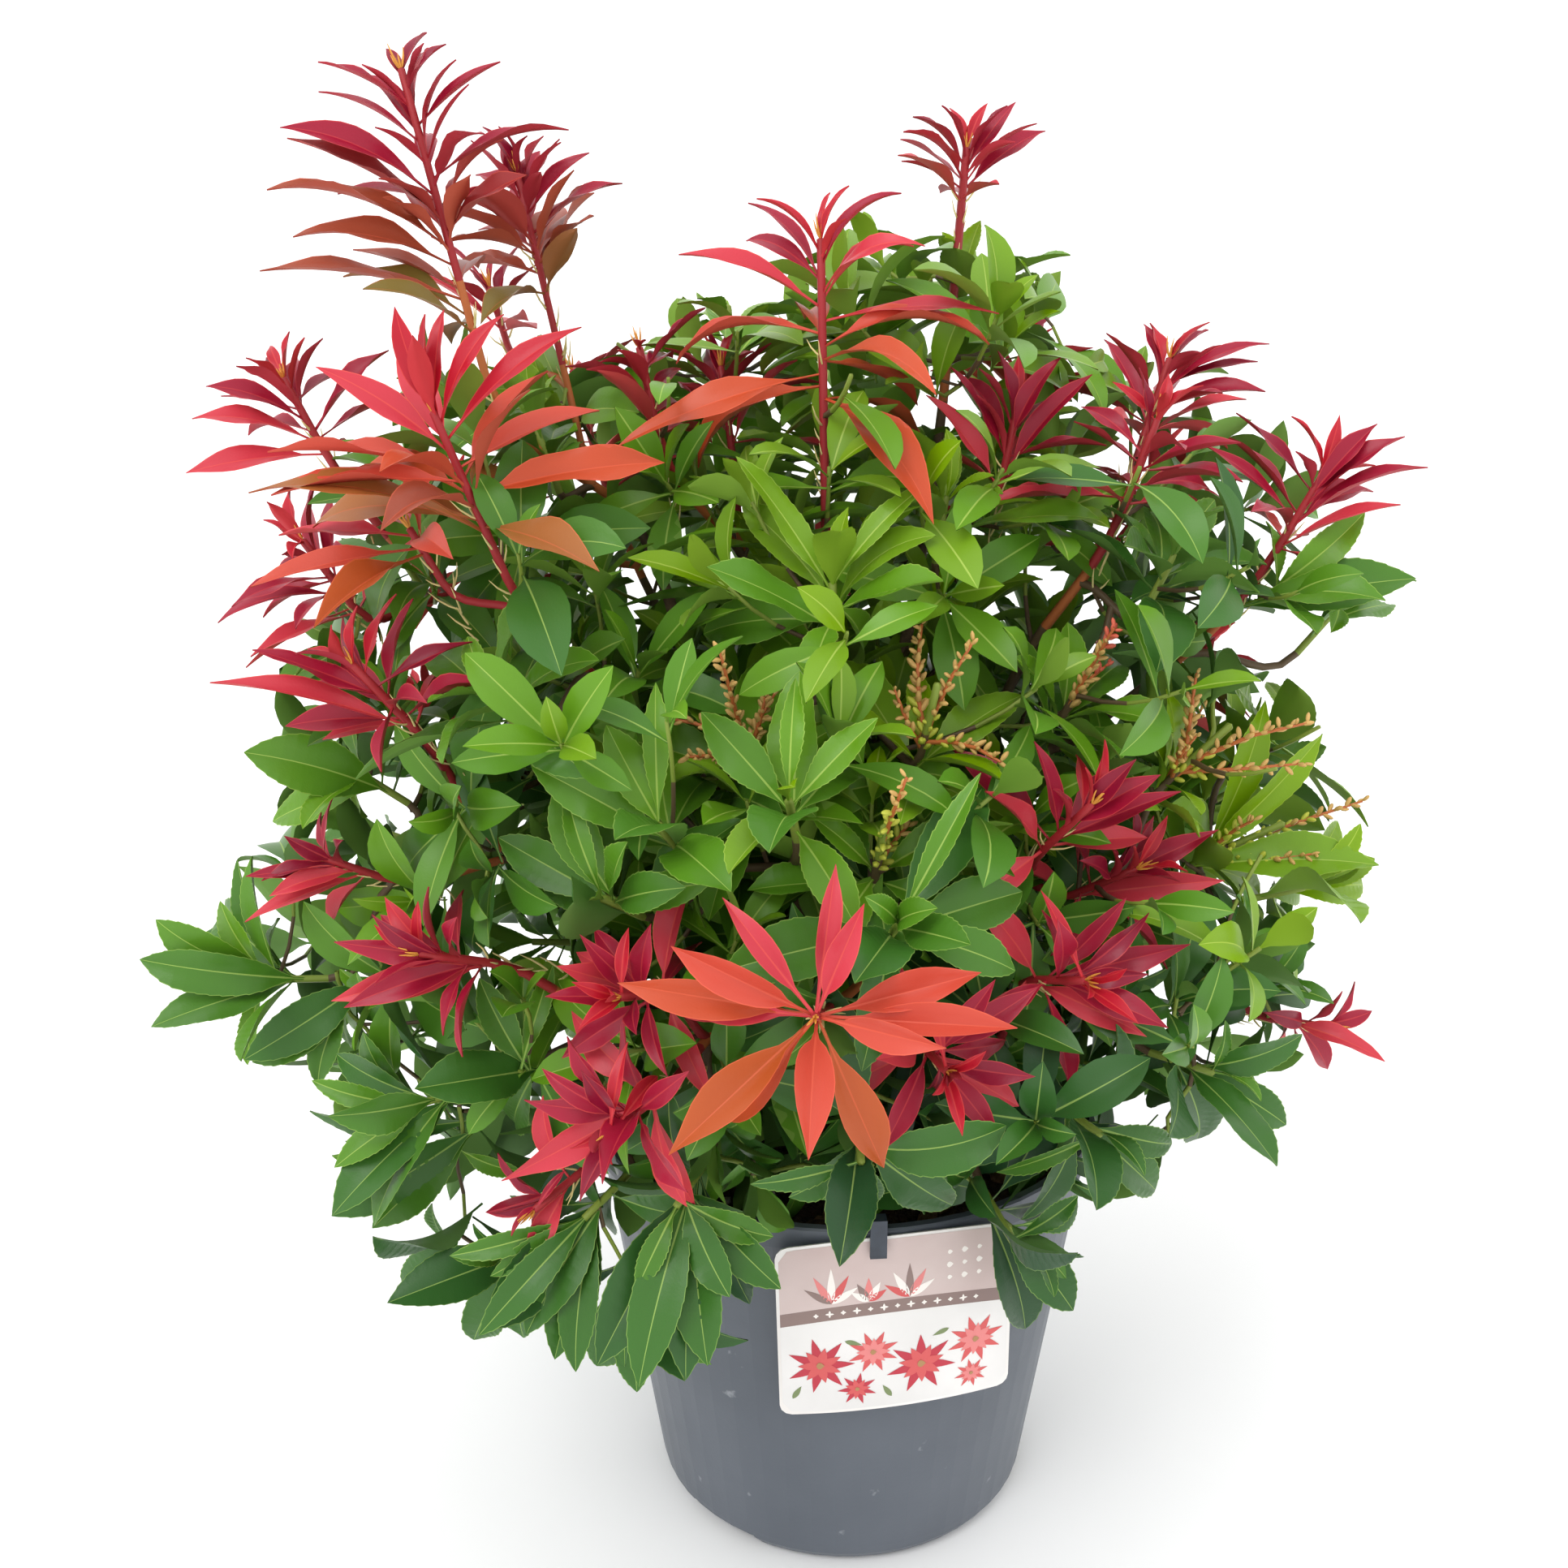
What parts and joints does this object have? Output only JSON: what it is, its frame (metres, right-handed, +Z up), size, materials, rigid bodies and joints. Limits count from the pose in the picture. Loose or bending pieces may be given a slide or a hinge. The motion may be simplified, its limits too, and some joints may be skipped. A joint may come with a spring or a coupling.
{
  "type": "pieris shrub",
  "caption": "Evergreen shrub with whorls of green leaves and red new shoots on forking boughs, in a round tapering nursery pot with a card label.",
  "frame": {"origin": "middle of the pot's flat underside, on the ground", "axes": "+Z up along the pot's axis, -Y towards the front where the label hangs, +X to the right seen from the front"},
  "size_m": [0.6343, 0.5316, 0.7798],
  "materials": {
    "pot_plastic": "satin",
    "compost": "matte",
    "label_card": "satin",
    "clip_plastic": "satin",
    "bark": "matte",
    "green_shoots": "satin",
    "green_leaves": "satin",
    "red_leaves": "satin",
    "flower_buds": "matte"
  },
  "bodies": {
    "root": {"bough_back_heart": "bark", "bough_back_left": "bark", "bough_back_left_flank": "bark", "bough_back_left_skirt": "bark", "bough_back_right": "bark", "bough_back_right_flank": "bark", "bough_back_right_skirt": "bark", "bough_centre_spire": "bark", "bough_front_heart": "bark", "bough_front_skirt": "bark", "bough_front_star": "bark", "bough_left_fan": "bark", "bough_left_flank": "bark", "bough_left_shoulder": "bark", "bough_left_skirt": "bark", "bough_left_spire": "bark", "bough_right_flank": "bark", "bough_right_point": "bark", "bough_right_shoulder": "bark", "bough_right_skirt": "bark", "bough_right_tip": "bark", "bough_top_left": "bark", "bough_top_right": "bark", "compost": "compost", "foliage_back_heart": "green_leaves", "foliage_back_left": "red_leaves", "foliage_back_left_flank": "green_leaves", "foliage_back_left_skirt": "green_leaves", "foliage_back_right": "red_leaves", "foliage_back_right_flank": "green_leaves", "foliage_back_right_skirt": "green_leaves", "foliage_centre_spire": "red_leaves", "foliage_front_heart": "green_leaves", "foliage_front_skirt": "green_leaves", "foliage_front_star": "red_leaves", "foliage_left_fan": "red_leaves", "foliage_left_flank": "green_leaves", "foliage_left_shoulder": "red_leaves", "foliage_left_skirt": "green_leaves", "foliage_left_spire": "red_leaves", "foliage_right_flank": "green_leaves", "foliage_right_point": "red_leaves", "foliage_right_shoulder": "red_leaves", "foliage_right_skirt": "green_leaves", "foliage_right_tip": "green_leaves", "foliage_top_left": "red_leaves", "foliage_top_right": "red_leaves", "label": "label_card", "label_clip": "clip_plastic", "pot": "pot_plastic", "trunk": "bark"}
  },
  "joints": []
}
